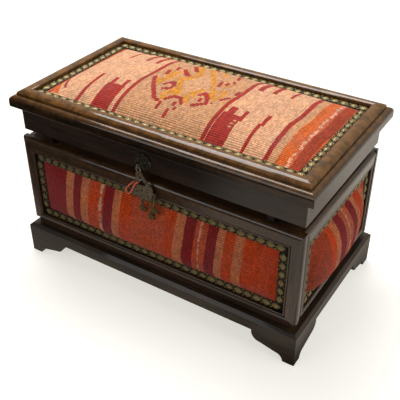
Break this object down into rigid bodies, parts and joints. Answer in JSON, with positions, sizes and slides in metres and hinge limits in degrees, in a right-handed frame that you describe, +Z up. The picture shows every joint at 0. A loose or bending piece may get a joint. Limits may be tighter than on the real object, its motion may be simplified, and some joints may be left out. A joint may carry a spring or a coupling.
{
  "type": "wooden box",
  "caption": "Hinged wooden box with a bracket-foot plinth, kilim-covered padded panels edged in brass strip, a moulded padded lid and a coin pendant.",
  "frame": {"origin": "middle of the box's footprint, on the surface it stands on", "axes": "+X along the length to the right as seen from the front, -Y out of the front, +Z up"},
  "size_m": [0.35, 0.1947, 0.2123],
  "materials": {
    "walnut": "dark varnish, satin",
    "plain_wood": "dark stain, matt",
    "kilim": "striped flat-woven wool over padding",
    "strip_brass": "antiqued, embossed",
    "hinge_brass": "satin",
    "steel": "drawn wire",
    "old_brass": "worn, tarnished in the hollows",
    "thread": "twisted thread"
  },
  "bodies": {
    "box": {"plinth_front": "walnut", "plinth_back": "walnut", "plinth_left": "walnut", "plinth_right": "walnut", "glue_blocks": "plain_wood", "floor_board": "plain_wood", "front_wall": "walnut", "back_wall": "walnut", "left_wall": "walnut", "right_wall": "walnut", "front_lining": "plain_wood", "back_lining": "plain_wood", "left_lining": "plain_wood", "right_lining": "plain_wood", "front_frame": "walnut", "back_frame": "walnut", "left_frame": "walnut", "right_frame": "walnut", "front_pad": "kilim", "back_pad": "kilim", "left_pad": "kilim", "right_pad": "kilim", "front_strip": "strip_brass", "back_strip": "strip_brass", "left_strip": "strip_brass", "right_strip": "strip_brass", "bumpers": "walnut", "rim_leaves": "hinge_brass", "hinge_pins": "steel", "rim_screws": "hinge_brass"},
    "lid": {"lid_leaves": "hinge_brass", "lid_screws": "hinge_brass", "apron_front": "walnut", "apron_back": "walnut", "apron_left": "walnut", "apron_right": "walnut", "lid_board": "plain_wood", "moulding_front": "walnut", "moulding_back": "walnut", "moulding_left": "walnut", "moulding_right": "walnut", "lid_cushion": "kilim", "lid_strip": "strip_brass", "rosette": "old_brass", "eye": "old_brass"},
    "pendant": {"pendant": "old_brass", "thread_loop": "thread"},
    "left_coin": {"link_left": "old_brass", "coin_left": "old_brass"},
    "middle_coin": {"link_middle": "old_brass", "coin_middle": "old_brass"},
    "right_coin": {"link_right": "old_brass", "coin_right": "old_brass"}
  },
  "joints": [
    {"name": "lid_hinge", "type": "hinge", "parent": "box", "child": "lid", "pos_m": [0, 0.0885, 0.15365], "axis": [-1, 0, 0], "range_deg": [0, 100]},
    {"name": "pendant_swing", "type": "hinge", "parent": "lid", "child": "pendant", "pos_m": [-0.0073, -0.0948, 0.16645], "axis": [-1, 0, 0], "range_deg": [0, 120]},
    {"name": "left_coin_swing", "type": "hinge", "parent": "pendant", "child": "left_coin", "pos_m": [-0.00386, -0.0948, 0.12787], "axis": [-1, 0, 0], "range_deg": [0, 80]},
    {"name": "middle_coin_swing", "type": "hinge", "parent": "pendant", "child": "middle_coin", "pos_m": [0.00557, -0.0948, 0.13102], "axis": [-1, 0, 0], "range_deg": [0, 80]},
    {"name": "right_coin_swing", "type": "hinge", "parent": "pendant", "child": "right_coin", "pos_m": [0.01021, -0.0948, 0.13906], "axis": [-1, 0, 0], "range_deg": [0, 80]}
  ]
}
